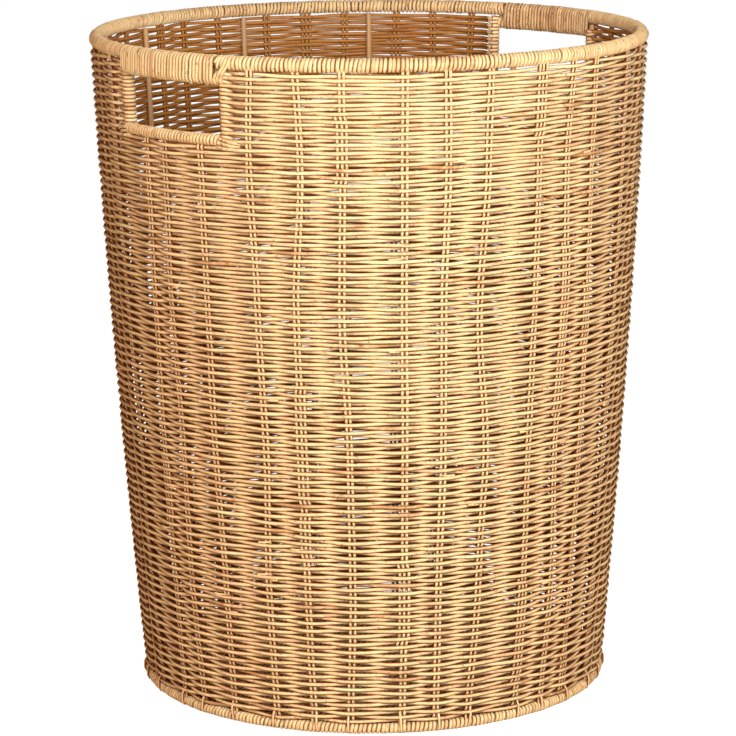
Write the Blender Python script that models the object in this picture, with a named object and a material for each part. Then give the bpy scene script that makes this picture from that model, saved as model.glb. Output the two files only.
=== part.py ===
"""A tapered round laundry basket woven from peeled rattan, with a hand hole on each side.

Metres, +Z up. The base stands on z = 0, the axis of the basket is the Z axis, and the
two hand holes face along -X and +X.
"""

from math import cos, pi, radians, sin

import bmesh
import bpy
from mathutils import Vector

# Overall shape, to the centre lines of the two hoops.
HEIGHT = 0.522
RIM_RADIUS = 0.214
BASE_RADIUS = 0.1825

# Rods, and the outside of the cane wound over them.
RIM_HOOP_R = 0.0034
RIM_BINDING_R = 0.0056
BASE_HOOP_R = 0.0024
BASE_BINDING_R = 0.0042
SILL_BAR_R = 0.0024
SILL_BINDING_R = 0.0044
UPRIGHT_R = 0.0022

# The woven wall: stakes with a weaver on either side.
WALL_THICKNESS = 0.0086
WALL_MID_BOTTOM = 0.1824
WALL_MID_TOP = 0.2149
WALL_BULGE = 0.0027

# Uprights stand in shallow grooves on the inner face of the wall.
UPRIGHT_COUNT = 12
UPRIGHT_FIRST_ANGLE = 15.0
UPRIGHT_INSET = 0.0037
GROOVE_INSET = 0.0012
GROOVE_FLOOR_HALF_ANGLE = 0.5
GROOVE_MOUTH_HALF_ANGLE = 1.45
STEPS_BETWEEN_GROOVES = 5

# Hand holes.
GRIP_HEIGHT = 0.0225
HOLE_HEIGHT = 0.0366
HOLE_HALF_ANGLE = UPRIGHT_FIRST_ANGLE - GROOVE_MOUTH_HALF_ANGLE
BAR_HALF_ANGLE = 13.4
BINDING_HALF_ANGLE = 13.3

# Woven base.
BASE_DISC_LOW = 0.0015
BASE_DISC_TOP = 0.0078

# Fitting.
GAP = 0.0003
RING_STEPS = 72
BAR_STEPS = 8
ROD_SIDES = 10
BINDING_SIDES = 12

RIM_Z = HEIGHT - RIM_BINDING_R
GRIP_BAR_Z = RIM_Z - (GRIP_HEIGHT - 2 * RIM_BINDING_R)
HOLE_TOP = HEIGHT - GRIP_HEIGHT
SILL_Z = HOLE_TOP - HOLE_HEIGHT - SILL_BINDING_R
NOTCH_Z = SILL_Z - SILL_BINDING_R - GAP
WALL_LOW = 2 * BASE_BINDING_R + GAP
WALL_HIGH = HEIGHT - 2 * RIM_BINDING_R - GAP
WALL_LEVELS = [WALL_LOW, 0.10, 0.20, 0.30, 0.40, NOTCH_Z, WALL_HIGH]


def wall_middle(z):
    """Radius of the middle of the woven wall at height z."""
    share = (z - WALL_LOW) / (WALL_HIGH - WALL_LOW)
    straight = WALL_MID_BOTTOM + (WALL_MID_TOP - WALL_MID_BOTTOM) * share
    return straight + WALL_BULGE * 4 * share * (1 - share)


def on_circle(radius, degrees, z):
    """A point at that radius from the basket's axis."""
    turn = radians(degrees)
    return Vector((radius * cos(turn), radius * sin(turn), z))


def polygon(flat_radius, sides, stretch=0.0):
    """A regular polygon, flats that far from its middle, its lower half moved down by stretch."""
    corner = flat_radius / cos(pi / sides)
    points = []
    for i in range(sides):
        turn = 2 * pi * (i + 0.5) / sides
        v = corner * sin(turn)
        drop = stretch if v < 0 else 0.0
        points.append((corner * cos(turn), v - drop))
    return points


def ring_at(section, radius, degrees, z):
    """The section stood on end across a hoop of that radius."""
    return [on_circle(radius + u, degrees, z + v) for u, v in section]


def rows_round(section, radius, z, start, end, steps):
    """Sections one after another round the basket, from one angle to another."""
    turns = [start + (end - start) * i / steps for i in range(steps + 1)]
    return [ring_at(section, radius, turn, z) for turn in turns]


def finish_mesh(name, bm, colour, roughness):
    """Puts the mesh in the scene with its own material, smooth except at real edges."""
    bmesh.ops.recalc_face_normals(bm, faces=bm.faces)
    for face in bm.faces:
        face.smooth = True
    for edge in bm.edges:
        edge.smooth = edge.calc_face_angle(0.0) < radians(50)
    mesh = bpy.data.meshes.new(name)
    bm.to_mesh(mesh)
    bm.free()
    material = bpy.data.materials.new(name)
    material.use_nodes = True
    shader = material.node_tree.nodes["Principled BSDF"]
    shader.inputs["Base Color"].default_value = (*colour, 1.0)
    shader.inputs["Roughness"].default_value = roughness
    mesh.materials.append(material)
    bpy.context.scene.collection.objects.link(bpy.data.objects.new(name, mesh))


def bridge(bm, first, second):
    """Quads between two loops of the same number of vertices."""
    count = len(first)
    for i in range(count):
        j = (i + 1) % count
        bm.faces.new((first[i], first[j], second[j], second[i]))


def rod(name, rings, colour, closed=False):
    """A solid rod through the rings, with flat ends, or closed on itself as a hoop."""
    bm = bmesh.new()
    loops = [[bm.verts.new(point) for point in ring] for ring in rings]
    for first, second in zip(loops, loops[1:]):
        bridge(bm, first, second)
    if closed:
        bridge(bm, loops[-1], loops[0])
    else:
        bm.faces.new(loops[0])
        bm.faces.new(loops[-1])
    finish_mesh(name, bm, colour, 0.55)


def sleeve(name, outer_rings, inner_rings, colour):
    """A sleeve of wound cane with a hollow right through it."""
    bm = bmesh.new()
    outer = [[bm.verts.new(point) for point in ring] for ring in outer_rings]
    inner = [[bm.verts.new(point) for point in ring] for ring in inner_rings]
    for loops in (outer, inner):
        for first, second in zip(loops, loops[1:]):
            bridge(bm, first, second)
    bridge(bm, outer[0], inner[0])
    bridge(bm, outer[-1], inner[-1])
    finish_mesh(name, bm, colour, 0.6)


def hoop(name, radius, z, rod_radius):
    """A whole hoop of round rod."""
    section = polygon(rod_radius, ROD_SIDES)
    rings = rows_round(section, radius, z, 0, 360, RING_STEPS)[:-1]
    rod(name, rings, ROD_COLOUR, closed=True)


def bound(name, radius, z, outside, core, start, end, stretch=0.0):
    """Cane wound over a rod, or over two rods a distance apart, round part of the basket."""
    steps = max(BAR_STEPS, round(abs(end - start) * RING_STEPS / 360))
    outer = polygon(outside, BINDING_SIDES, stretch)
    inner = polygon(core + GAP, BINDING_SIDES, stretch)
    sleeve(
        name,
        rows_round(outer, radius, z, start, end, steps),
        rows_round(inner, radius, z, start, end, steps),
        CANE_COLOUR,
    )


def short_bar(name, middle, radius, z, rod_radius):
    """A short curved rod across a hand hole."""
    section = polygon(rod_radius, ROD_SIDES)
    ends = (middle - BAR_HALF_ANGLE, middle + BAR_HALF_ANGLE)
    rod(name, rows_round(section, radius, z, *ends, BAR_STEPS), ROD_COLOUR)


def upright(name, degrees):
    """A straight-grained rod up the inside of the wall, from base binding to rim binding."""
    rings = []
    for z in WALL_LEVELS:
        centre = on_circle(wall_middle(z) - UPRIGHT_INSET, degrees, z)
        ring = []
        for i in range(ROD_SIDES + 2):
            turn = 2 * pi * i / (ROD_SIDES + 2)
            ring.append(centre + on_circle(UPRIGHT_R, turn * 180 / pi, 0.0))
        rings.append(ring)
    rod(name, rings, UPRIGHT_COLOUR)


def wall_angles():
    """The angles of the wall's edges, and how far the inner face stands in at each."""
    pitch = 360 / UPRIGHT_COUNT
    plain = pitch - 2 * GROOVE_MOUTH_HALF_ANGLE
    angles = []
    for i in range(UPRIGHT_COUNT):
        middle = UPRIGHT_FIRST_ANGLE + i * pitch
        for offset in (-GROOVE_FLOOR_HALF_ANGLE, GROOVE_FLOOR_HALF_ANGLE):
            angles.append((middle + offset, GROOVE_INSET))
        for step in range(STEPS_BETWEEN_GROOVES + 1):
            offset = GROOVE_MOUTH_HALF_ANGLE + plain * step / STEPS_BETWEEN_GROOVES
            angles.append((middle + offset, WALL_THICKNESS / 2))
    return angles


def in_hand_hole(degrees):
    """Whether that direction looks through a hand hole."""
    from_hole = abs((degrees + 90) % 180 - 90)
    return from_hole < HOLE_HALF_ANGLE


def wall_weave():
    """Stakes and weavers as one wall, with a notch from the top for each hand hole."""
    angles = wall_angles()
    bm = bmesh.new()
    verts = {}
    for i, (degrees, inset) in enumerate(angles):
        for j, z in enumerate(WALL_LEVELS):
            middle = wall_middle(z)
            outside = on_circle(middle + WALL_THICKNESS / 2, degrees, z)
            inside = on_circle(middle - inset, degrees, z)
            verts[i, j, 0] = bm.verts.new(outside)
            verts[i, j, 1] = bm.verts.new(inside)
    count = len(angles)
    rows = len(WALL_LEVELS) - 1

    def filled(i, j):
        if not 0 <= j < rows:
            return False
        here = angles[i % count][0]
        there = angles[(i + 1) % count][0]
        if there < here:
            there += 360
        return j < rows - 1 or not in_hand_hole((here + there) / 2)

    for i in range(count):
        k = (i + 1) % count
        for j in range(rows):
            if not filled(i, j):
                continue
            for side in (0, 1):
                corners = [verts[i, j, side], verts[k, j, side]]
                corners += [verts[k, j + 1, side], verts[i, j + 1, side]]
                bm.faces.new(corners)
            for level, beyond in ((j, j - 1), (j + 1, j + 1)):
                if not filled(i, beyond):
                    corners = [verts[i, level, 0], verts[k, level, 0]]
                    corners += [verts[k, level, 1], verts[i, level, 1]]
                    bm.faces.new(corners)
            for edge, beyond in ((i, i - 1), (k, i + 1)):
                if not filled(beyond, j):
                    corners = [verts[edge, j, 0], verts[edge, j + 1, 0]]
                    corners += [verts[edge, j + 1, 1], verts[edge, j, 1]]
                    bm.faces.new(corners)
    unused = [vert for vert in bm.verts if not vert.link_faces]
    bmesh.ops.delete(bm, geom=unused, context="VERTS")
    finish_mesh("wall_weave", bm, WEAVE_COLOUR, 0.6)


def base_weave():
    """The woven floor inside the base hoop."""
    radius = BASE_RADIUS - BASE_BINDING_R - GAP
    rings = []
    for z in (BASE_DISC_LOW, BASE_DISC_TOP):
        turns = [360 * i / RING_STEPS for i in range(RING_STEPS)]
        rings.append([on_circle(radius, turn, z) for turn in turns])
    rod("base_weave", rings, WEAVE_COLOUR)


ROD_COLOUR = (0.42, 0.24, 0.11)
UPRIGHT_COLOUR = (0.50, 0.30, 0.15)
CANE_COLOUR = (0.60, 0.38, 0.17)
WEAVE_COLOUR = (0.55, 0.33, 0.14)

for thing in list(bpy.data.objects):
    bpy.data.objects.remove(thing)

hoop("rim_hoop", RIM_RADIUS, RIM_Z, RIM_HOOP_R)
hoop("base_hoop", BASE_RADIUS, BASE_BINDING_R, BASE_HOOP_R)
for number in range(UPRIGHT_COUNT):
    upright(f"upright_{number + 1:02d}", UPRIGHT_FIRST_ANGLE + 30 * number)

seam = GAP / RIM_RADIUS * 90 / pi
for side, middle in (("right", 0), ("left", 180)):
    ends = (middle - BINDING_HALF_ANGLE, middle + BINDING_HALF_ANGLE)
    short_bar(f"grip_bar_{side}", middle, RIM_RADIUS, GRIP_BAR_Z, RIM_HOOP_R)
    bound(
        f"grip_binding_{side}",
        RIM_RADIUS,
        RIM_Z,
        RIM_BINDING_R,
        RIM_HOOP_R,
        *ends,
        stretch=RIM_Z - GRIP_BAR_Z,
    )
    sill_radius = wall_middle(SILL_Z)
    short_bar(f"sill_bar_{side}", middle, sill_radius, SILL_Z, SILL_BAR_R)
    bound(
        f"sill_binding_{side}",
        sill_radius,
        SILL_Z,
        SILL_BINDING_R,
        SILL_BAR_R,
        *ends,
    )

for side, middle in (("rear", 90), ("front", 270)):
    reach = 90 - BINDING_HALF_ANGLE - 2 * seam
    bound(
        f"rim_binding_{side}",
        RIM_RADIUS,
        RIM_Z,
        RIM_BINDING_R,
        RIM_HOOP_R,
        middle - reach,
        middle + reach,
    )
bound(
    "base_binding",
    BASE_RADIUS,
    BASE_BINDING_R,
    BASE_BINDING_R,
    BASE_HOOP_R,
    -90 + seam,
    270 - seam,
)
wall_weave()
base_weave()
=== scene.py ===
"""Looks of a tapered laundry basket woven from round rattan cane.

Laid out as an add-on and run as a script. Each operator makes one piece, or a group of like
pieces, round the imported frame: the woven wall strand by strand, the cane wound over the rims,
the woven floor, the rods, and a plain studio.
"""

from math import atan2, cos, pi, radians, sin, tau

import bpy
import numpy as np
from bpy.props import FloatProperty, FloatVectorProperty, PointerProperty
from mathutils import Euler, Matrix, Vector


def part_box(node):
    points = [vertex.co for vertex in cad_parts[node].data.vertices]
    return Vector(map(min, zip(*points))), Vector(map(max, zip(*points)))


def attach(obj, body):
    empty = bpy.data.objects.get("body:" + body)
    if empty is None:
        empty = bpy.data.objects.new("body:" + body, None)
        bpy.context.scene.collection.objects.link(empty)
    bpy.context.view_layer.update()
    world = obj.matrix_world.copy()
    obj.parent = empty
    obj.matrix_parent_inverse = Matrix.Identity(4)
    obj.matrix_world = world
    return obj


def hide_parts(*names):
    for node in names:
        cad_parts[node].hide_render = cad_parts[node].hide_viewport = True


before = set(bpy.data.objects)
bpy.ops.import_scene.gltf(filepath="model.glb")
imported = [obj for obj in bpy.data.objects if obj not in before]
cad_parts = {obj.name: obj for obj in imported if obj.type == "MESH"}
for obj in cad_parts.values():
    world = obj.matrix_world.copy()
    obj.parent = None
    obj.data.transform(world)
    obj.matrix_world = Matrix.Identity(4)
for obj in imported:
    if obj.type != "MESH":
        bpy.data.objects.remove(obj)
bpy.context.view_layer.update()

bl_info = {
    "name": "Woven Laundry Basket",
    "version": (1, 0, 0),
    "blender": (4, 5, 0),
    "location": "3D Viewport > Sidebar > Basket",
    "description": "Weaves and binds a cane laundry basket round its packed frame",
    "category": "Add Mesh",
}

MM = 0.001

# Sides of the tube that a woven strand and a wound strand are drawn with.
WOVEN_SIDES = 6
WOUND_SIDES = 8

# Stake columns after each upright, in degrees.
COLUMN_OFFSETS = (6.4, 15.0, 23.6)
# Rows lie this much looser at the foot of the wall than they would if evenly spread.
ROW_PACKING = 0.035
# Long waves in the rows: seed, height, waves a turn, and how tall one is up the wall.
ROW_WAVES = (
    (1, 0.24 * MM, 5, 0.052), (2, 0.22 * MM, 9, 0.075), (3, 0.16 * MM, 13, 0.041),
    (4, 0.24 * MM, 3, 0.060), (5, 0.14 * MM, 17, 0.033),
)
# Where the weave is slack enough to see through: round the basket, and from what height up.
SLACK_MIDDLE = radians(99)
SLACK_SPREAD = radians(26)
SLACK_FOOT = 0.24
SLACK_RISE = 0.14
SLACK_NOD = 0.46 * MM
# Pieces that the closed rounds are split into, and laid-in weaver ends on the wall.
ROUND_BANDS = 4
WEAVER_ENDS = 70
# From one point to the next along a stake, and the clear space between two stakes of a pair.
STAKE_STEP = 1.2 * MM
STAKE_SPACE = 0.65 * MM
# Where the grip winding starts and ends, in degrees from the middle of each hand hole.
GRIP_ENDS = {"right": (-14.0, 12.1), "left": (-13.9, 13.7)}
# Mean tone of the cane on each grip, from 0 for the darkest to 1 for the palest; the far right grip is set
# darker as painted shade.
GRIP_TONE_AND_SHADE = {"right": 0.3, "left": 0.5}
# The woven floor: radius of its weavers and of its stakes, and the spacing of each.
FLOOR_CANE = 1.18 * MM
FLOOR_STAKE = 0.95 * MM
FLOOR_ROW = 1.97 * MM
FLOOR_COLUMN = 27 * MM
FLOOR_COLUMNS_EACH_WAY = 6

# Markings on the cane and on the rods, in millimetres along and across. The fibres of real
# cane lie about a fifth of a millimetre apart, and are drawn coarser so that they show.
PATCH_SIZE = (100 / 3, 6.25)
FIBRE_SIZE = (100 / 11, 2 / 3)
PORE_SIZE = (10 / 3, 10 / 9)
ROD_GRAIN_SIZE = (200 / 9, 10 / 9)
# Painted shade that the cane's colour is multiplied by: in the valleys between strands, and inside the
# basket.
VALLEY_SHADE = "#935e2f"
INNER_FACE_SHADE = "#bd9258"

# Soft boxes: name, degrees round from the camera's side, height, distance, (wide, tall), watts
# and colour. The last one only keeps the far side from going black.
SOFT_BOXES = (
    ("key_box", 13, 0.87, 1.39, (1.7, 0.6), 39, "#ffffff"),
    ("warm_box", -62, 0.8, 2.2, (1.0, 1.0), 9, "#ffbc89"),
    ("back_box", 180, 1.65, 1.95, (1.4, 1.0), 10, "#ffdfc0"),
)
LAMP_TARGET = (0, 0, 0.27)
# Strength of the studio's air as light on the basket, and the glow of the sweep in view.
AIR_LIGHT = 0.02
SWEEP_GLOW = 1.0
SWEEP_RADIUS = 14

# The camera: its lens and sensor in millimetres, where it stands, and how it is turned.
LENS = 159.74
SENSOR_WIDTH = 36.0
CAMERA_AZIMUTH = radians(-45)
CAMERA_DISTANCE = 2.568
CAMERA_HEIGHT = 0.798
CAMERA_PITCH = 0.2113
CAMERA_YAW = 0.0011
CAMERA_ROLL = -0.0083


# -------- frame measures


def node_points(name):
    """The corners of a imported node, in metres."""
    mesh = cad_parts[name].data
    found = np.empty(len(mesh.vertices) * 3)
    mesh.vertices.foreach_get("co", found)
    return found.reshape(-1, 3)


def level(name):
    """(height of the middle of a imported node, half of how tall it is)."""
    low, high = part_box(name)
    return (high[2] + low[2]) / 2, (high[2] - low[2]) / 2


def ring_radius(name):
    """Radius to the centre of a packed ring's rod."""
    low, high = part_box(name)
    return (high[0] - low[0]) / 2 - (high[2] - low[2]) / 2


class Wall:
    """Where the woven wall, its uprights and its hand holes are."""

    def __init__(self):
        points = node_points("wall_weave")
        radii = np.hypot(points[:, 0], points[:, 1])
        levels = np.unique(points[:, 2].round(5))
        outer = [radii[np.abs(points[:, 2] - z) < 1e-4].max() for z in levels]
        inner = [radii[np.abs(points[:, 2] - z) < 1e-4].min() for z in levels]
        self.half = (outer[0] - inner[0]) / 2
        self.profile = np.polyfit(levels, np.array(outer) - self.half, 2)
        self.low, self.high = levels[0], levels[-1]
        names = sorted(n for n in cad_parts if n.startswith("upright_"))
        self.uprights = []
        for name in names:
            centre = node_points(name).mean(0)
            self.uprights.append(atan2(centre[1], centre[0]) % tau)
        self.uprights.sort()
        first = node_points(names[0])
        base = first[np.abs(first[:, 2] - first[:, 2].min()) < 1e-4]
        spread = np.hypot(base[:, 0], base[:, 1])
        self.upright_radius = (spread.max() - spread.min()) / 2
        self.upright_inset = self.middle(self.low) - (spread.max() + spread.min()) / 2
        self.rim_radius = ring_radius("rim_hoop")
        self.rim_z, self.rim_half = level("rim_binding_front")
        self.base_radius = ring_radius("base_binding")
        self.base_z, self.base_half = level("base_binding")
        self.sill_z, self.sill_half = level("sill_binding_right")
        self.grip_drop = 2 * (level("grip_binding_right")[1] - self.rim_half)
        self.post_angle = min(self.uprights)

    def middle(self, z):
        """Radius of the middle of the wall at that height."""
        return np.polyval(self.profile, z)


WALL = Wall()


# -------- strands


def smooth_noise(seed, size, step, at):
    """Soft random wander of that size, one knot per step, read at the places given.

    Every wander on the basket has a seed of its own, so a strand comes out the same each time.
    """
    places = np.asarray(at, float) / step
    knots = np.random.default_rng(seed).normal(0.0, 1.0, 4096)
    low = np.floor(places).astype(int)
    share = ease(places - low)
    return size * (knots[low % len(knots)] * (1 - share) + knots[(low + 1) % len(knots)] * share)


def ring_noise(seed, size, waves, angles):
    """Soft wander round the basket that meets itself again: up to that many waves a turn."""
    rng = np.random.default_rng(seed)
    weight = rng.normal(0.0, 1.0, waves)
    phase = rng.uniform(0, tau, waves)
    turns = np.arange(1, waves + 1)
    total = (weight[:, None] * np.sin(turns[:, None] * np.atleast_1d(angles) + phase[:, None])).sum(0)
    return size * total * np.sqrt(2 / waves)


def ease(share):
    """From 0 to 1 with soft ends."""
    share = np.clip(share, 0.0, 1.0)
    return share * share * (3 - 2 * share)


def unit(vectors):
    """The vectors, each one long."""
    return vectors / np.linalg.norm(vectors, axis=1, keepdims=True)


class Strands:
    """Tubes of cane that together make one piece."""

    def __init__(self, sides):
        self.sides = sides
        self.rings = []
        self.reed = []
        self.tone = []
        self.runs = []

    def add(self, points, outward, deep, wide=None, tone=0.5, closed=False, no_inner_shade=False):
        """One strand along the points. deep is its radius outward, wide its radius across.

        Where the last flag is true the strand gets no painted shade on its inner faces, as if every side
        faced out.
        """
        wide = deep if wide is None else wide
        if closed:
            ahead = np.roll(points, -1, 0) - np.roll(points, 1, 0)
        else:
            ahead = np.gradient(points, axis=0)
        ahead = unit(ahead)
        across = unit(np.cross(ahead, outward))
        up = np.cross(across, ahead)
        turn = tau * np.arange(self.sides) / self.sides
        deep = np.broadcast_to(deep, len(points))[:, None, None]
        wide = np.broadcast_to(wide, len(points))[:, None, None]
        lift = deep * np.cos(turn)[None, :, None] * up[:, None, :]
        reach = wide * np.sin(turn)[None, :, None] * across[:, None, :]
        self.rings.append((points[:, None, :] + lift + reach).reshape(-1, 3))
        steps = np.linalg.norm(np.diff(points, axis=0), axis=1)
        along = np.concatenate(([0.0], np.cumsum(steps)))
        thick = float(np.mean(deep))
        reed = np.empty((len(points), self.sides, 3))
        reed[:, :, 0] = along[:, None]
        out = np.cos(turn)[None, :]
        # Faces turned inward get a negative value here, which the cane material turns into painted shade;
        # flagged places take the absolute value and get none.
        reed[:, :, 1] = np.where(np.broadcast_to(no_inner_shade, len(points))[:, None], np.abs(out), out) * thick
        reed[:, :, 2] = np.sin(turn)[None, :] * thick
        self.reed.append(reed.reshape(-1, 3))
        tones = np.broadcast_to(tone, len(points))
        self.tone.append(np.repeat(tones, self.sides))
        self.runs.append((len(points), closed))

    def build(self, name, material):
        """The strands as one mesh object, with the cane's own coordinates on it."""
        sides = self.sides
        quads, caps, cells = [], [], []
        start = 0
        spot = 0
        side = np.arange(sides)
        for count, closed in self.runs:
            rows = np.arange(count if closed else count - 1)
            here = start + rows[:, None] * sides
            ahead = start + ((rows + 1) % count)[:, None] * sides
            right = (side + 1) % sides
            quads.append(
                np.stack([here + side, ahead + side, ahead + right, here + right], -1).reshape(-1, 4)
            )
            cells.append(
                np.stack(np.broadcast_arrays(spot + rows[:, None], side[None, :]), -1).reshape(-1, 2)
            )
            if not closed:
                caps.append(start + side)
                caps.append(start + (count - 1) * sides + side[::-1])
            start += count * sides
            spot += len(rows) + 1
        quads = np.concatenate(quads)
        cells = np.concatenate(cells)
        caps = np.array(caps, int).reshape(-1, sides)
        mesh = bpy.data.meshes.new(name)
        mesh.vertices.add(start)
        mesh.vertices.foreach_set("co", np.concatenate(self.rings).ravel())
        mesh.loops.add(quads.size + caps.size)
        corners = np.concatenate([quads.ravel(), caps.ravel()])
        mesh.loops.foreach_set("vertex_index", corners.astype(np.int32))
        sizes = np.concatenate([np.full(len(quads), 4), np.full(len(caps), sides)])
        mesh.polygons.add(len(sizes))
        starts = np.concatenate([[0], np.cumsum(sizes)[:-1]])
        mesh.polygons.foreach_set("loop_start", starts.astype(np.int32))
        smooth = np.concatenate([np.ones(len(quads), bool), np.zeros(len(caps), bool)])
        mesh.polygons.foreach_set("use_smooth", smooth)
        self.lay_out(mesh, cells, spot, len(caps))
        reed = mesh.attributes.new("reed", "FLOAT_VECTOR", "POINT")
        reed.data.foreach_set("vector", np.concatenate(self.reed).ravel())
        tone = mesh.attributes.new("tone", "FLOAT", "POINT")
        tone.data.foreach_set("value", np.concatenate(self.tone))
        mesh.update(calc_edges=True)
        mesh.validate()
        mesh.materials.append(material)
        piece = bpy.data.objects.new(name, mesh)
        bpy.context.scene.collection.objects.link(piece)
        return piece

    def lay_out(self, mesh, cells, total, cap_count):
        """Unrolls every strand side by side into one square map."""
        across = max(1, int(np.ceil(np.sqrt(total / 0.4))))
        rows = int(np.ceil((total + cap_count) / across)) + 1
        column = cells[:, 0] % across
        row = cells[:, 0] // across
        left, right = column / across, (column + 0.999) / across
        low = (row + 0.03 + 0.94 * cells[:, 1] / self.sides) / rows
        high = (row + 0.03 + 0.94 * (cells[:, 1] + 1) / self.sides) / rows
        quads = np.stack(
            [np.stack([left, low], -1), np.stack([right, low], -1),
             np.stack([right, high], -1), np.stack([left, high], -1)], 1
        )
        turn = tau * np.arange(self.sides) / self.sides
        spots = total + np.arange(cap_count)
        middle = np.stack([(spots % across + 0.5) / across, (spots // across + 0.5) / rows], -1)
        reach = np.stack([0.4 * np.cos(turn) / across, 0.4 * np.sin(turn) / rows], -1)
        caps = middle[:, None, :] + reach[None, :, :]
        layer = mesh.uv_layers.new(name="OFBake")
        spread = np.concatenate([quads.ravel(), caps.ravel()])
        layer.data.foreach_set("uv", spread.astype(np.float32))


def place(radius, angle, z):
    """Points at those radii, angles and heights."""
    radius, angle, z = np.broadcast_arrays(radius, angle, z)
    return np.stack([radius * np.cos(angle), radius * np.sin(angle), z], -1)


# -------- weave


class Weave:
    """The plan of the woven wall: stake columns, rows and how far each weaver swings."""

    def __init__(self, sizes):
        self.cane = sizes.cane_thickness / 2
        self.stake = sizes.stake_thickness / 2
        self.give = sizes.stake_give
        self.bend = WALL.upright_radius + self.cane
        self.swing = self.cane + self.stake - self.give
        self.shift = WALL.half - self.swing - self.cane
        first = WALL.low + self.cane + 0.2 * MM
        last = WALL.high - self.cane - 0.5 * MM
        self.rows = int(round((last - first) / sizes.row_spacing)) + 1
        share = np.linspace(0, 1, self.rows)
        packed = ROW_PACKING * share * (1 - share)
        self.row_z = first + (last - first) * (share + packed)
        self.split = int(np.sum(self.row_z < WALL.sill_z - WALL.sill_half - self.cane * 0.9))
        self.columns = []
        for i, upright in enumerate(WALL.uprights):
            rng = np.random.default_rng(50 + i)
            for offset in COLUMN_OFFSETS:
                self.columns.append(upright + radians(offset + rng.normal(0.0, 0.45)))
        self.columns = np.array(self.columns)

    def middle(self, z):
        """Radius of the middle of the weave, whose outer face is the wall's outer face."""
        return WALL.middle(z) + self.shift

    def column_angle(self, column, z):
        """Where that column of stakes is at that height: it wanders a little on its way up."""
        return self.columns[column] + smooth_noise(900 + column, radians(0.6), 110 * MM, z)

    def sway(self, row, angles, z):
        """From -1 inside to 1 outside: where that row's weaver is at each angle."""
        columns = np.array([self.column_angle(k, z) for k in range(len(self.columns))])
        knots = np.concatenate([columns[-1:] - tau, columns, columns[:1] + tau])
        turned = (angles - knots[0]) % tau + knots[0]
        index = np.clip(np.searchsorted(knots, turned, side="right") - 1, 0, len(knots) - 2)
        share = (turned - knots[index]) / (knots[index + 1] - knots[index])
        flip = np.where((index + row) % 2 == 0, 1.0, -1.0)
        return -flip * np.cos(pi * share)

    def lift(self, angles, z):
        """How far the rows sag or ride up at each place."""
        total = ring_noise(31, 0.35 * MM, 7, angles)
        for seed, size, turns, tall in ROW_WAVES:
            phase = np.random.default_rng(seed).uniform(0, tau)
            total = total + size * np.sin(turns * angles + tau * z / tall + phase)
        return total * np.minimum(1.0, np.minimum(z - WALL.low, WALL.high - z) / (12 * MM))

    def nod(self, angles, z):
        """How far a weaver rides up outside a stake and down inside it: slacker behind on one side."""
        slack = np.exp(-(((angles % tau) - SLACK_MIDDLE) / SLACK_SPREAD) ** 4)
        high = ease((z - SLACK_FOOT) / SLACK_RISE)
        wander = ring_noise(77, 0.12 * MM, 24, angles + 9 * z)
        return SLACK_NOD * slack * high - 0.05 * MM + wander

    def row_points(self, row, angles):
        """Middle line of one weaver and the way its outside faces."""
        z = self.row_z[row]
        sway = self.sway(row, angles, z)
        height = z + self.lift(angles, z) + ring_noise(3000 + row, 0.11 * MM, 36, angles)
        height = height + self.nod(angles, z) * sway
        depth = self.swing * (1 + ring_noise(4000 + row, 0.05, 36, angles)) * sway
        return place(self.middle(height) + depth, angles, height), place(1.0, angles, 0.0)

    def tone(self, row, angles):
        """The weaver's own tone, which drifts along it."""
        own = np.random.default_rng(6000 + row).normal(0.5, 0.10)
        return own + ring_noise(7000 + row, 0.10, 12, angles)

    def thickness(self, row, angles):
        """Radius of the weaver, which is never quite even."""
        own = self.cane * np.random.default_rng(8000 + row).normal(1.0, 0.025)
        return own * (1 + ring_noise(9000 + row, 0.03, 28, angles))

    def row_at(self, angle, z):
        """Which row a height belongs to, as a number that runs on between the rows."""
        return np.interp(z - self.lift(angle, z), self.row_z, np.arange(self.rows))


def weave_rounds(plan, material):
    """The rounds below the hand holes, in bands."""
    pieces = []
    angles = np.linspace(0, tau, 400, endpoint=False)
    for band in range(ROUND_BANDS):
        strands = Strands(WOVEN_SIDES)
        low, high = plan.split * band // ROUND_BANDS, plan.split * (band + 1) // ROUND_BANDS
        for row in range(low, high):
            points, outward = plan.row_points(row, angles)
            radius = plan.thickness(row, angles)
            strands.add(points, outward, radius, tone=plan.tone(row, angles), closed=True)
        pieces.append(strands.build(f"wall_weavers_{band + 1}", material))
    return pieces


def turn_round_post(plan, corner, way, low, high):
    """A weaver's turn and a half round a post, from outside to inside, on the side of the hole."""
    turn = np.linspace(0, 3 * pi, 34)[1:-1]
    height = low + (high - low) * ease((turn - pi) / pi)
    centre = WALL.middle(height) - WALL.upright_inset
    across = way * plan.bend * np.sin(turn)
    points = place(centre + plan.bend * np.cos(turn), corner + across / centre, height)
    flat = place(1.0, np.full(len(turn), corner), 0.0)
    side = place(1.0, np.full(len(turn), corner + pi / 2), 0.0)
    outward = unit(flat * np.cos(turn)[:, None] + side * (way * np.sin(turn))[:, None])
    return points, outward


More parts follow.
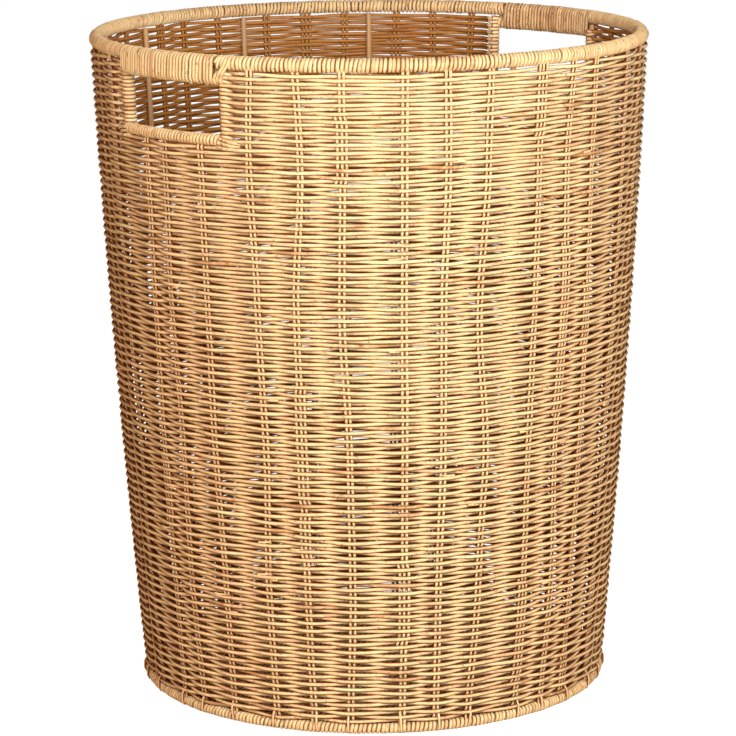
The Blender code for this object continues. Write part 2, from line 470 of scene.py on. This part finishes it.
def weave_sides(plan, material):
    """The rows beside the hand holes, wound round the post at each end and back again."""
    pieces = []
    post = WALL.post_angle
    for name, start in (("rear", post), ("front", pi + post)):
        end = start + pi - 2 * post
        angles = np.linspace(start, end, 190)
        near = np.minimum(angles - start, end - angles) * WALL.rim_radius
        loose = ease(near / (15 * MM))
        strands = Strands(WOVEN_SIDES)
        points, outward, radius, tones, no_inner_shade = [], [], [], [], []
        for row in range(plan.split, plan.rows):
            forward = (row - plan.split) % 2 == 0
            line, facing = plan.row_points(row, angles)
            level = line[:, 2]
            level = plan.row_z[row] + (level - plan.row_z[row]) * (0.25 + 0.75 * loose)
            depth = np.hypot(line[:, 0], line[:, 1]) - plan.middle(line[:, 2])
            arrives = (angles > (start + end) / 2) == forward
            hold = np.where(arrives, plan.bend, -plan.bend) - WALL.upright_inset - plan.shift
            line = place(plan.middle(level) + depth * loose + hold * (1 - loose), angles, level)
            order = slice(None, None, 1 if forward else -1)
            points.append(line[order])
            outward.append(facing[order])
            radius.append(plan.thickness(row, angles)[order])
            tones.append(plan.tone(row, angles)[order])
            # No painted inner shade near the posts, nor on the turns round them.
            no_inner_shade.append((near < 4 * MM)[order])
            if row + 1 < plan.rows:
                corner, way = (end, 1) if forward else (start, -1)
                rise = plan.row_z[row + 1] - plan.row_z[row]
                low = line[order][-1, 2]
                turned, facing = turn_round_post(plan, corner, way, low, low + rise)
                points.append(turned)
                outward.append(facing)
                radius.append(np.full(len(turned), plan.cane * 0.98))
                tones.append(np.full(len(turned), tones[-1][-1] + 0.08))
                no_inner_shade.append(np.full(len(turned), True))
        strands.add(
            np.concatenate(points), np.concatenate(outward), np.concatenate(radius),
            tone=np.concatenate(tones), no_inner_shade=np.concatenate(no_inner_shade),
        )
        pieces.append(strands.build(f"wall_weavers_{name}", material))
    return pieces


def in_hole(angle):
    """True where a column runs up into a hand hole."""
    return abs((angle + pi / 2) % pi - pi / 2) < WALL.post_angle


def stakes(plan, material):
    """Pairs of thin stakes up each column, with a third beside them in places."""
    pieces = []
    count = len(plan.columns)
    for part, name in enumerate(("rear", "left", "front", "right")):
        strands = Strands(WOVEN_SIDES)
        for k in range(part * count // 4, (part + 1) * count // 4):
            column = (k + count // 12) % count
            add_column(plan, strands, column)
        pieces.append(strands.build(f"wall_stakes_{name}", material))
    return pieces


def add_column(plan, strands, column):
    """One column: two stakes side by side, and perhaps a third for part of the way."""
    rng = np.random.default_rng(1200 + column)
    top = WALL.sill_z if in_hole(plan.columns[column]) else WALL.rim_z
    low = WALL.low - 1.0 * MM
    z = np.arange(low, top, STAKE_STEP)
    share = (z - low) / (WALL.rim_z - low)
    way = rng.choice([-1, 1])
    extra = np.zeros(len(z))
    for _ in range(2):
        start, long = rng.uniform(-0.15, 0.95), rng.uniform(0.08, 0.30)
        if rng.random() < 0.55:
            stretch = ease((share - start) / 0.02) * ease((start + long - share) / 0.02)
            extra = np.maximum(extra, stretch)
    gap = plan.stake * 2.0 + STAKE_SPACE
    angle = plan.column_angle(column, z)
    bow = -plan.give * np.cos(pi * (plan.row_at(angle, z) + column))
    for number in range(3):
        wander = smooth_noise(1500 + 7 * column + number, 0.14 * MM, 30 * MM, z)
        offset = way * gap * ((number - 0.5) - 0.5 * extra) + wander
        keep = np.ones(len(z), bool) if number < 2 else extra > 0.02
        edges = np.flatnonzero(np.diff(np.concatenate([[0], keep.astype(int), [0]])))
        for first, last in zip(edges[::2], edges[1::2]):
            if last - first < 6:
                continue
            span = slice(first, last)
            level = z[span]
            depth = bow[span] + smooth_noise(1900 + 7 * column + number, 0.10 * MM, 20 * MM, level)
            middle = plan.middle(level)
            points = place(middle + depth, angle[span] + offset[span] / middle, level)
            tone = rng.normal(0.55, 0.10) + smooth_noise(2100 + 7 * column + number, 0.06, 60 * MM, level)
            radius = plan.stake * rng.normal(1.0, 0.04)
            strands.add(points, place(1.0, angle[span], 0.0), np.full(len(level), radius), tone=tone)
    foot = low + 3 * MM
    spot = float(plan.column_angle(column, foot)) + way * rng.choice([-0.5, 0.5]) * gap / WALL.base_radius
    add_foot(plan, strands, spot, rng)


def add_foot(plan, strands, angle, rng):
    """The end of a stake, brought out over the wound base hoop and tucked under it."""
    share = np.linspace(0, 1, 12)
    top, bottom = WALL.low + 9 * MM, 1.6 * MM
    outside = WALL.base_radius + WALL.base_half + plan.stake * 0.25
    start = plan.middle(top)
    radius = start + (outside - start) * ease(share * 2.1)
    z = top * (1 - share) + bottom * share
    radius = radius - 1.6 * MM * ease((share - 0.8) / 0.2)
    lean = radians(rng.normal(0.0, 0.5))
    points = place(radius, angle + lean * share, z)
    strands.add(points, place(1.0, angle + 0 * share, 0.0), plan.stake * 0.82, tone=rng.normal(0.64, 0.06))


def weaver_ends(plan, material):
    """Short ends where one weaver stops and the next is laid in beside it."""
    strands = Strands(WOVEN_SIDES)
    rng = np.random.default_rng(77)
    for _ in range(WEAVER_ENDS):
        row = int(rng.integers(3, plan.split - 3))
        column = int(rng.integers(0, len(plan.columns)))
        z = plan.row_z[row]
        middle = float(plan.column_angle(column, z))
        way = rng.choice([-1, 1])
        long = rng.uniform(11, 17) * MM
        share = np.linspace(0, 1, 9)
        along = middle + way * (share * long - 3 * MM) / WALL.rim_radius
        height = z + plan.lift(along, z) + (0.9 + 0.5 * share) * MM * rng.choice([-1, 1])
        depth = -1.2 * MM + (plan.swing + 0.9 * MM) * ease(share * 1.6)
        points = place(plan.middle(height) + depth, along, height)
        strands.add(points, place(1.0, along, 0.0), plan.cane * 0.8, tone=rng.normal(0.5, 0.15))
    return strands.build("wall_weaver_ends", material)


# -------- bindings


def round_section(share, reach, drop):
    """A place on the loop round one rod, or round two rods a drop apart, and its outward."""
    lengths = np.array([drop, pi * reach, drop, pi * reach])
    edges = np.concatenate([[0.0], np.cumsum(lengths)])
    spot = (share % 1.0) * edges[-1]
    turn_up = (spot - edges[1]) / reach
    turn_down = pi + (spot - edges[3]) / reach
    outer = spot < edges[1]
    upper = (spot >= edges[1]) & (spot < edges[2])
    inner = (spot >= edges[2]) & (spot < edges[3])
    cases = [outer, upper, inner]
    out_u = np.select(cases, [1.0, np.cos(turn_up), -1.0], np.cos(turn_down))
    out_v = np.select(cases, [0.0, np.sin(turn_up), 0.0], np.sin(turn_down))
    low = np.select(cases, [spot - edges[1], 0.0, edges[2] - spot], -drop)
    return reach * out_u, reach * out_v + low, out_u, out_v


def wind(strands, radius, z, reach, start, end, cane, seed, drop=0.0, lean=0.2, lead=0.0, mean=0.5):
    """Cane wound round a hoop from one angle to another, its first turns leaning by lead."""
    deep, wide, pitch = cane
    turns = max(2, int(round((end - start) * radius / pitch)))
    per_turn = 16 if drop == 0 else 26
    share = np.arange(turns * per_turn + 1) / per_turn
    u, v, out_u, out_v = round_section(share, reach, drop)
    slip = smooth_noise(seed, 0.07, 0.8, share + 50) + smooth_noise(seed + 1, 0.10, 6.0, share + 50)
    tilt = lean * smooth_noise(seed + 2, 1.0, 4.0, share + 50) + lead * np.exp(-share / 2.2)
    place_along = np.clip(share + slip + 0.5 * tilt * out_v, 0, turns)
    angle = start + (end - start) * place_along / turns
    rise = smooth_noise(seed + 4, 0.12 * MM, 1.3, share + 50)
    points = place(radius + u + out_u * rise, angle, z + v + out_v * rise)
    outward = place(out_u, angle, out_v)
    tone = mean + smooth_noise(seed + 5, 0.07, 1.0, share + 50) + smooth_noise(seed + 6, 0.06, 25, share + 50)
    wide = wide * (1 + smooth_noise(seed + 7, 0.05, 1.5, share + 50))
    strands.add(points, outward, deep, wide, tone=tone)


def hand_holes():
    """For each hand hole: its name, the angle of its middle, and where its grip winding starts and ends."""
    for name, middle in (("right", 0.0), ("left", pi)):
        first, last = GRIP_ENDS[name]
        yield name, middle, middle + radians(first), middle + radians(last)


def bind_rims(sizes, material):
    """Cane wound over the rim hoop on both sides, and over the whole base hoop."""
    pieces = []
    deep, wide = sizes.binding_depth / 2, sizes.binding_width / 2
    reach = WALL.rim_half - deep
    holes = {name: (first, last) for name, _, first, last in hand_holes()}
    spans = (
        ("rear", holes["right"][1], holes["left"][0]),
        ("front", holes["left"][1], holes["right"][0] + tau),
    )
    for seed, (name, start, end) in enumerate(spans):
        strands = Strands(WOUND_SIDES)
        cane = (deep, wide, sizes.binding_pitch)
        wind(strands, WALL.rim_radius, WALL.rim_z, reach, start, end, cane, 100 + 20 * seed, lead=1.5)
        pieces.append(strands.build(f"rim_winding_{name}", material))
    strands = Strands(WOUND_SIDES)
    deep = deep * 0.9
    reach = WALL.base_half - deep
    cane = (deep, wide * 1.03, sizes.binding_pitch * 1.04)
    wind(strands, WALL.base_radius, WALL.base_z, reach, -pi / 2, 3 * pi / 2, cane, 300)
    pieces.append(strands.build("base_winding", material))
    return pieces


def add_ties(strands, sizes, end):
    """Two strands that cross from the end of the grip winding up over the rim."""
    deep = sizes.binding_depth / 2
    reach = WALL.rim_half - deep
    for number in range(2):
        share = np.linspace(0, 1, 16)
        climb = ease(share / 0.62)
        bow = np.clip((share - 0.5) / 0.5, 0, 1)
        angle = end + np.radians(0.35 + 0.75 * number + 2.3 * climb)
        z = WALL.rim_z - 15 * MM + 15 * MM * np.clip(share / 0.5, 0, 1) + reach * np.sin(pi * bow)
        radius = WALL.rim_radius + (reach + 0.7 * MM) * np.cos(pi * bow)
        radius = radius - 4.5 * MM * (1 - ease(share / 0.25))
        outward = place(np.cos(pi * bow), angle, np.sin(pi * bow))
        strands.add(place(radius, angle, z), unit(outward), deep, sizes.binding_width / 2, tone=0.55)


def add_tails(strands, plan, middle):
    """Ends of the sill winding, carried along the wall and tucked into the weave."""
    for way in (-1, 1):
        for number in range(3):
            rng = np.random.default_rng(640 + number)
            share = np.linspace(0, 1, 16)
            long = (24 - 5 * number) * MM
            edge = middle + way * WALL.post_angle * 0.88
            angle = edge + way * share * long / WALL.rim_radius
            z = WALL.sill_z + (1.2 - 3.0 * number) * MM - (3.5 - number) * MM * ease(share)
            z = z + rng.normal(0, 0.3) * MM
            bump = np.sin(pi * np.clip(share * 1.15, 0, 1)) ** 0.7
            radius = plan.middle(z) - 0.8 * MM + (plan.swing + plan.cane * 0.75) * bump
            strands.add(place(radius, angle, z), place(1.0, angle, 0.0), plan.cane * 0.85, tone=0.5)


def bind_grips(sizes, material):
    """Cane wound over hoop and grip bar together, and over the sill of each hand hole."""
    pieces = []
    plan = Weave(sizes)
    deep, wide = sizes.binding_depth / 2, sizes.binding_width / 2
    post = WALL.post_angle
    cane = (deep, wide, sizes.binding_pitch)
    for seed, (name, middle, start, end) in enumerate(hand_holes()):
        strands = Strands(WOUND_SIDES)
        reach = WALL.rim_half - deep
        # The far right grip's darker mean tone is painted shade.
        wind(
            strands, WALL.rim_radius, WALL.rim_z, reach, start, end, cane, 500 + 20 * seed,
            drop=WALL.grip_drop, lean=0.05, mean=GRIP_TONE_AND_SHADE[name],
        )
        low_bar = WALL.rim_z - WALL.grip_drop
        wind(strands, WALL.rim_radius, low_bar, reach * 0.92, end, middle + post, cane, 560 + 20 * seed)
        add_ties(strands, sizes, end)
        pieces.append(strands.build(f"grip_winding_{name}", material))
        strands = Strands(WOUND_SIDES)
        reach = WALL.sill_half - deep
        radius = WALL.middle(WALL.sill_z)
        start, end = middle - post * 0.93, middle + post * 0.93
        wind(strands, radius, WALL.sill_z, reach, start, end, cane, 600 + 20 * seed, lean=0.1)
        add_tails(strands, plan, middle)
        pieces.append(strands.build(f"sill_winding_{name}", material))
    return pieces


# -------- base


def weave_base(material):
    """The woven floor: pairs of stakes one way, weavers over and under them the other way.

    Two rings of cane round the edge close it against the winding of the base hoop.
    """
    low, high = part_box("base_weave")
    middle = (low[2] + high[2]) / 2
    reach = (high[0] - low[0]) / 2
    half = (high[2] - low[2]) / 2
    strands = Strands(WOVEN_SIDES)
    swing = half - FLOOR_CANE
    columns = FLOOR_COLUMN * np.arange(-FLOOR_COLUMNS_EACH_WAY, FLOOR_COLUMNS_EACH_WAY + 1)
    up = [0.0, 0.0, 1.0]
    for k, x in enumerate(columns):
        long = np.sqrt(max(reach**2 - x**2, 0.0)) - 1 * MM
        for j in (-0.5, 0.5):
            y = np.linspace(-long, long, 40)
            offset = x + j * 2.1 * FLOOR_STAKE + smooth_noise(5100 + k, 0.3 * MM, 0.03, y + 1)
            points = np.stack([offset, y, np.full(len(y), middle)], -1)
            strands.add(points, np.tile(up, (len(y), 1)), FLOOR_STAKE, tone=0.4 + 0.1 * sin(k))
    rows = int(2 * reach / FLOOR_ROW)
    for row in range(1, rows):
        y = -reach + 2 * reach * row / rows
        long = np.sqrt(max(reach**2 - y**2, 0.0)) + 1.0 * MM
        if long < 12 * MM:
            continue
        x = np.linspace(-long, long, max(8, int(2 * long / (4 * MM))))
        phase = (x - columns[0]) / FLOOR_COLUMN
        z = middle + swing * np.cos(pi * (phase + row))
        line = y + smooth_noise(5300 + row, 0.12 * MM, 0.03, x + 1)
        points = np.stack([x, line, z], -1)
        tone = 0.5 + smooth_noise(5500 + row, 0.15, 0.1, x + 1)
        strands.add(points, np.tile(up, (len(x), 1)), FLOOR_CANE, tone=tone)
    angles = np.linspace(0, tau, 240, endpoint=False)
    for j, inset in enumerate((0.5 * MM, 2.4 * MM)):
        border = place(reach - inset, angles, middle + (1 - 2 * j) * 0.9 * MM)
        outward = np.tile(up, (len(angles), 1))
        strands.add(border, outward, FLOOR_CANE, tone=0.45 + 0.1 * j, closed=True)
    return strands.build("base_floor", material)


# -------- materials


def linear(hex_colour):
    """An sRGB hex colour as linear red, green and blue."""
    parts = [int(hex_colour[i : i + 2], 16) / 255 for i in (1, 3, 5)]
    return tuple(c / 12.92 if c <= 0.04045 else ((c + 0.055) / 1.055) ** 2.4 for c in parts)


def add_node(tree, kind, inputs=None, **settings):
    """Adds a node, sets what it is told and joins or fills its inputs."""
    node = tree.nodes.new(kind)
    for name, value in settings.items():
        setattr(node, name, value)
    for name, value in (inputs or {}).items():
        if isinstance(value, bpy.types.NodeSocket):
            tree.links.new(value, node.inputs[name])
        else:
            node.inputs[name].default_value = value
    return node


def set_ramp(node, stops):
    """Puts those positions and colours on a colour ramp."""
    elements = node.color_ramp.elements
    while len(elements) > 1:
        elements.remove(elements[-1])
    elements[0].position, elements[0].color = stops[0][0], (*stops[0][1], 1.0)
    for position, colour in stops[1:]:
        elements.new(position).color = (*colour, 1.0)


def new_material(name):
    """A new material, its node tree and its shader."""
    material = bpy.data.materials.new(name)
    material.use_nodes = True
    return material, material.node_tree, material.node_tree.nodes["Principled BSDF"]


def remap(tree, value, start, end, low, high):
    """The value, stretched so that start to end becomes low to high."""
    return add_node(
        tree, "ShaderNodeMapRange",
        {"Value": value, "From Min": start, "From Max": end, "To Min": low, "To Max": high},
    ).outputs[0]


def blend(tree, share, one, other, how="MIX"):
    """Two colours blended by that share."""
    return add_node(
        tree, "ShaderNodeMix", {"Factor": share, 6: one, 7: other}, data_type="RGBA", blend_type=how
    ).outputs[2]


def noise(tree, at, size, detail, rough, shift=(0.0, 0.0, 0.0)):
    """A noise pattern whose marks have that size, given in millimetres on each axis."""
    per_metre = tuple(1000 / length for length in size)
    scaled = add_node(
        tree, "ShaderNodeVectorMath", {0: at, 1: per_metre, 2: shift}, operation="MULTIPLY_ADD"
    )
    return add_node(
        tree, "ShaderNodeTexNoise",
        {"Vector": scaled.outputs[0], "Scale": 1.0, "Detail": detail, "Roughness": rough},
    ).outputs["Fac"]


def painted_shade_tints(tree, reed, valley_shade_share, inner_shade_share):
    """Two tints of painted shade for the cane: dark in the valleys between strands, browner on faces turned
    to the inside of the basket.
    """
    white = (1.0, 1.0, 1.0, 1.0)
    spot = add_node(tree, "ShaderNodeSeparateXYZ", {0: reed})
    section = add_node(tree, "ShaderNodeCombineXYZ", {"X": spot.outputs["Y"], "Y": spot.outputs["Z"]})
    facing = add_node(tree, "ShaderNodeVectorMath", {0: section.outputs[0]}, operation="NORMALIZE")
    face = add_node(tree, "ShaderNodeSeparateXYZ", {0: facing.outputs[0]})
    side = add_node(tree, "ShaderNodeMath", {0: face.outputs["Y"]}, operation="ABSOLUTE")
    # Painted shade: the sides of a strand, where it meets its neighbours, are darkened.
    valley = remap(tree, side.outputs[0], 0.6, 0.93, 0.0, valley_shade_share)
    # Painted shade: faces turned to the inside of the basket are made browner.
    inside = remap(tree, face.outputs["X"], 0.0, -0.9, 0.0, inner_shade_share)
    return (
        blend(tree, valley, white, (*linear(VALLEY_SHADE), 1.0)),
        blend(tree, inside, white, (*linear(INNER_FACE_SHADE), 1.0)),
    )


# The last two arguments set how much painted shade goes into the valleys and onto inner faces.
def cane_material(name, colours, roughness, valley_shade_share, inner_shade_share):
    """Peeled rattan core, sanded and left plain: pale, with long fibres and small dark pores.

    The fibres run along the strand. Each strand has its own tone, from straw to a faint pink,
    and drifts along its length. The pores are a millimetre or two long. Painted shade darkens
    the valleys where strands lie together, and makes the faces turned to the inside of the
    basket browner. The fibres also break up its dull shine.
    """
    material, tree, shader = new_material(name)
    reed = add_node(tree, "ShaderNodeAttribute", attribute_name="reed").outputs["Vector"]
    tone = add_node(tree, "ShaderNodeAttribute", attribute_name="tone").outputs["Fac"]
    shift = add_node(
        tree, "ShaderNodeVectorMath", {0: tone, 1: (37.0, 13.0, 21.0)}, operation="MULTIPLY"
    ).outputs[0]
    patches, fibres, pores = (
        noise(tree, reed, (along, across, across), detail, 0.55, shift)
        for (along, across), detail in ((PATCH_SIZE, 2.0), (FIBRE_SIZE, 3.0), (PORE_SIZE, 1.0))
    )
    drift = add_node(tree, "ShaderNodeMath", {0: patches, 1: 0.9, 2: tone}, operation="MULTIPLY_ADD")
    centre = add_node(tree, "ShaderNodeMath", {0: drift.outputs[0], 1: 0.45}, operation="SUBTRACT")
    ramp = add_node(tree, "ShaderNodeValToRGB", {"Fac": centre.outputs[0]})
    set_ramp(ramp, colours)
    grain = remap(tree, fibres, 0.3, 0.7, 0.78, 1.08)
    grained = add_node(
        tree, "ShaderNodeVectorMath", {0: ramp.outputs["Color"], "Scale": grain}, operation="SCALE"
    )
    dark = remap(tree, pores, 0.65, 0.73, 0.0, 0.75)
    pore = (*bpy.context.scene.basket_colours.pore, 1.0)
    colour = blend(tree, dark, grained.outputs[0], pore)
    # Multiplies in the painted shade of the valleys and of the inner faces.
    for tint in painted_shade_tints(tree, reed, valley_shade_share, inner_shade_share):
        colour = blend(tree, 1.0, colour, tint, "MULTIPLY")
    tree.links.new(colour, shader.inputs["Base Color"])
    sheen = remap(tree, fibres, 0.3, 0.7, roughness + 0.08, roughness - 0.06)
    tree.links.new(sheen, shader.inputs["Roughness"])
    bump = add_node(tree, "ShaderNodeBump", {"Strength": 0.35, "Distance": 0.15 * MM, "Height": fibres})
    tree.links.new(bump.outputs[0], shader.inputs["Normal"])
    shader.inputs["IOR"].default_value = 1.5
    shader.inputs["Specular IOR Level"].default_value = 0.25
    return material


def rod_material(name, colours, roughness):
    """Sanded rattan pole: straight grain up the rod, faint darker streaks, a dull wax shine."""
    material, tree, shader = new_material(name)
    spot = add_node(tree, "ShaderNodeTexCoord")
    along, across = ROD_GRAIN_SIZE
    grain = noise(tree, spot.outputs["Object"], (across, across, along), 3.0, 0.5)
    ramp = add_node(tree, "ShaderNodeValToRGB", {"Fac": grain})
    set_ramp(ramp, colours)
    tree.links.new(ramp.outputs["Color"], shader.inputs["Base Color"])
    bump = add_node(tree, "ShaderNodeBump", {"Strength": 0.3, "Distance": 0.1 * MM, "Height": grain})
    tree.links.new(bump.outputs[0], shader.inputs["Normal"])
    shader.inputs["Roughness"].default_value = roughness
    shader.inputs["IOR"].default_value = 1.5
    return material


def floor_material(colour):
    """Matt paper sweep: it glows an even white in view, and sends warm tan light up at the basket."""
    material, tree, shader = new_material("matt_white_paper_sweep")
    shader.inputs["Base Color"].default_value = (*colour, 1.0)
    shader.inputs["Roughness"].default_value = 0.9
    shader.inputs["Specular IOR Level"].default_value = 0.1
    sight = add_node(tree, "ShaderNodeLightPath")
    glow = add_node(
        tree, "ShaderNodeMath", {0: sight.outputs["Is Camera Ray"], 1: SWEEP_GLOW}, operation="MULTIPLY"
    )
    tree.links.new(glow.outputs[0], shader.inputs["Emission Strength"])
    shader.inputs["Emission Color"].default_value = (1.0, 1.0, 1.0, 1.0)
    return material


# -------- operators


def length_property(name, description, default):
    """A length that a user may change."""
    return FloatProperty(name=name, description=description, default=default, unit="LENGTH", precision=5)


def colour_property(name, description, default):
    """A colour that a user may change, given in sRGB hex."""
    return FloatVectorProperty(
        name=name, description=description, default=linear(default), subtype="COLOR", size=3, min=0, max=1
    )


class BasketSizes(bpy.types.PropertyGroup):
    """Sizes of the cane."""

    cane_thickness: length_property(
        "Weaver thickness", "Diameter of the round cane that is woven", 3.12 * MM
    )
    row_spacing: length_property("Row spacing", "Mean height of one row of the weave", 3.05 * MM)
    stake_thickness: length_property("Stake thickness", "Diameter of the thin upright stakes", 2.75 * MM)
    stake_give: length_property("Stake give", "How far a stake bows away from each weaver", 0.5 * MM)
    binding_width: length_property("Winding width", "Width of the cane wound over the rims", 2.95 * MM)
    binding_depth: length_property("Winding depth", "Thickness of the cane wound over the rims", 2.55 * MM)
    binding_pitch: length_property("Winding pitch", "From one turn of the winding to the next", 3.14 * MM)


class BasketColours(bpy.types.PropertyGroup):
    """Colours of the cane, the rods and the stage."""

    weaver_pale: colour_property("Weaver, palest", "Straw colour of the palest weavers", "#f8dfa6")
    weaver_straw: colour_property("Weaver, straw", "Usual colour of a weaver", "#f1cf96")
    weaver_pink: colour_property("Weaver, pink", "Faint pink of some weavers", "#e8bc8b")
    weaver_brown: colour_property("Weaver, brown", "Colour of the darkest weavers", "#bd8b57")
    winding_pale: colour_property("Winding, palest", "Palest cane over the rims", "#f5dba3")
    winding_mid: colour_property("Winding", "Usual cane over the rims", "#eac28c")
    winding_brown: colour_property("Winding, brown", "Darkest cane over the rims", "#bb8657")
    pore: colour_property("Pores", "Small dark flecks in the cane", "#6b3a1c")
    pole: colour_property("Uprights", "Sanded poles up the inside of the wall", "#c79764")
    core: colour_property("Hoops and bars", "Rods under the winding", "#8a5f3a")
    floor: colour_property("Studio floor", "Paper sweep under the basket", "#c9b79f")


def shade(colour, share):
    """The colour, darker or paler by that share."""
    return tuple(min(1.0, part * share) for part in colour)


def weaver_colours():
    """Ramp of the woven cane, from the darkest strand to the palest."""
    colours = bpy.context.scene.basket_colours
    return [
        (0.05, tuple(colours.weaver_brown)), (0.28, tuple(colours.weaver_pink)),
        (0.5, tuple(colours.weaver_straw)), (0.62, shade(colours.weaver_pink, 1.08)),
        (0.9, tuple(colours.weaver_pale)),
    ]


def winding_colours():
    """Ramp of the cane wound over the rims."""
    colours = bpy.context.scene.basket_colours
    return [
        (0.05, tuple(colours.winding_brown)), (0.45, tuple(colours.winding_mid)),
        (0.95, tuple(colours.winding_pale)),
    ]


def ride_all(pieces):
    """Every piece belongs to the one body."""
    for piece in pieces:
        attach(piece, "root")


class BASKET_OT_wall(bpy.types.Operator):
    """Weave the wall: rounds, the rows beside the hand holes, and the stakes."""

    bl_idname = "basket.wall"
    bl_label = "Weave Wall"

    def execute(self, context):
        plan = Weave(context.scene.basket_sizes)
        cane = cane_material("peeled_rattan_core_weavers", weaver_colours(), 0.5, 1.0, 1.0)
        pieces = weave_rounds(plan, cane) + weave_sides(plan, cane) + stakes(plan, cane)
        pieces.append(weaver_ends(plan, cane))
        ride_all(pieces)
        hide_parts("wall_weave")
        return {"FINISHED"}


class BASKET_OT_bindings(bpy.types.Operator):
    """Wind cane over the rim, the grips, the sills and the base."""

    bl_idname = "basket.bindings"
    bl_label = "Wind Rims"

    def execute(self, context):
        sizes = context.scene.basket_sizes
        cane = cane_material("peeled_rattan_core_winding", winding_colours(), 0.45, 0.5, 0.3)
        rims = bind_rims(sizes, cane)
        grips = bind_grips(sizes, cane)
        ride_all(rims + grips)
        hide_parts("rim_binding_rear")
        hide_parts("rim_binding_front")
        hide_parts("base_binding")
        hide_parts("grip_binding_right")
        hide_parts("sill_binding_right")
        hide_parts("grip_binding_left")
        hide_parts("sill_binding_left")
        return {"FINISHED"}


class BASKET_OT_floor(bpy.types.Operator):
    """Weave the floor of the basket."""

    bl_idname = "basket.floor"
    bl_label = "Weave Floor"

    def execute(self, context):
        cane = cane_material("peeled_rattan_core_floor", weaver_colours(), 0.5, 1.0, 0.5)
        piece = weave_base(cane)
        ride_all([piece])
        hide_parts("base_weave")
        return {"FINISHED"}


class BASKET_OT_rods(bpy.types.Operator):
    """Finish the uprights, hoops and bars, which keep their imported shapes."""

    bl_idname = "basket.rods"
    bl_label = "Finish Rods"

    def execute(self, context):
        colours = context.scene.basket_colours
        pole, core = tuple(colours.pole), tuple(colours.core)
        ramp = [(0.3, shade(pole, 0.72)), (0.55, shade(pole, 0.9)), (0.8, pole)]
        pale = rod_material("sanded_rattan_pole", ramp, 0.5)
        dark = rod_material("rattan_pole_core", [(0.3, shade(core, 0.7)), (0.7, core)], 0.6)
        for name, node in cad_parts.items():
            if name.startswith("upright_"):
                node.material_slots[0].material = pale
            elif name.endswith("_hoop") or "_bar_" in name:
                node.material_slots[0].material = dark
        return {"FINISHED"}


def aim(thing, target):
    """Turns a lamp to face a point."""
    way = np.array(target, float) - np.array(thing.location)
    flat = np.hypot(way[0], way[1])
    thing.rotation_euler = (atan2(flat, -way[2]), 0.0, atan2(way[1], way[0]) - pi / 2)


def soft_box(name, bearing, height, distance, size, power, colour):
    """A soft box that many degrees round from the camera's side, aimed at the basket's middle."""
    bearing = CAMERA_AZIMUTH - pi / 2 + radians(bearing)
    lamp = bpy.data.lights.new(name, "AREA")
    lamp.shape = "RECTANGLE"
    lamp.size, lamp.size_y = size
    lamp.energy = power
    lamp.color = linear(colour)
    thing = bpy.data.objects.new(name, lamp)
    thing.location = (distance * cos(bearing), distance * sin(bearing), height)
    aim(thing, LAMP_TARGET)
    bpy.context.scene.collection.objects.link(thing)


class BASKET_OT_stage(bpy.types.Operator):
    """Set up the floor, the soft boxes and the camera."""

    bl_idname = "basket.stage"
    bl_label = "Set Up Stage"

    def execute(self, context):
        scene = context.scene
        bpy.ops.mesh.primitive_circle_add(vertices=96, radius=SWEEP_RADIUS, fill_type="NGON")
        floor = context.object
        floor.name = "studio_floor"
        floor.data.materials.append(floor_material(tuple(context.scene.basket_colours.floor)))
        world = bpy.data.worlds.new("studio_air")
        world.use_nodes = True
        tree = world.node_tree
        sight = add_node(tree, "ShaderNodeLightPath")
        level = add_node(
            tree, "ShaderNodeMapRange",
            {"Value": sight.outputs["Is Camera Ray"], "To Min": AIR_LIGHT, "To Max": 1.0},
        )
        tree.nodes["Background"].inputs["Color"].default_value = (1, 1, 1, 1)
        tree.links.new(level.outputs[0], tree.nodes["Background"].inputs["Strength"])
        scene.world = world
        for lamp in SOFT_BOXES:
            soft_box(*lamp)
        lens = bpy.data.cameras.new("camera")
        lens.sensor_width = SENSOR_WIDTH
        lens.lens = LENS
        lens.clip_start, lens.clip_end = 0.1, 50.0
        camera = bpy.data.objects.new("camera", lens)
        scene.collection.objects.link(camera)
        across, back = sin(CAMERA_AZIMUTH), -cos(CAMERA_AZIMUTH)
        camera.location = (CAMERA_DISTANCE * across, CAMERA_DISTANCE * back, CAMERA_HEIGHT)
        turn = Euler((pi / 2 - CAMERA_PITCH, 0.0, CAMERA_AZIMUTH + CAMERA_YAW)).to_matrix()
        roll = Euler((0.0, 0.0, CAMERA_ROLL)).to_matrix()
        camera.rotation_euler = (turn @ roll).to_euler()
        scene.camera = camera
        scene.view_settings.view_transform = "Standard"
        return {"FINISHED"}


class BASKET_PT_panel(bpy.types.Panel):
    """Lists what the basket is made of."""

    bl_idname = "BASKET_PT_panel"
    bl_label = "Woven Laundry Basket"
    bl_space_type = "VIEW_3D"
    bl_region_type = "UI"
    bl_category = "Basket"

    def draw(self, context):
        for group in (context.scene.basket_sizes, context.scene.basket_colours):
            for name in group.bl_rna.properties.keys():
                if name not in ("rna_type", "name"):
                    self.layout.prop(group, name)
        for operator in OPERATORS:
            self.layout.operator(operator.bl_idname)


OPERATORS = (BASKET_OT_wall, BASKET_OT_bindings, BASKET_OT_floor, BASKET_OT_rods, BASKET_OT_stage)
CLASSES = (BasketSizes, BasketColours, *OPERATORS, BASKET_PT_panel)


def register():
    for cls in CLASSES:
        bpy.utils.register_class(cls)
    bpy.types.Scene.basket_sizes = PointerProperty(type=BasketSizes)
    bpy.types.Scene.basket_colours = PointerProperty(type=BasketColours)


def unregister():
    del bpy.types.Scene.basket_sizes
    del bpy.types.Scene.basket_colours
    for cls in reversed(CLASSES):
        bpy.utils.unregister_class(cls)


def main():
    register()
    bpy.ops.basket.wall()
    bpy.ops.basket.bindings()
    bpy.ops.basket.floor()
    bpy.ops.basket.rods()
    bpy.ops.basket.stage()


if __name__ == "__main__":
    main()
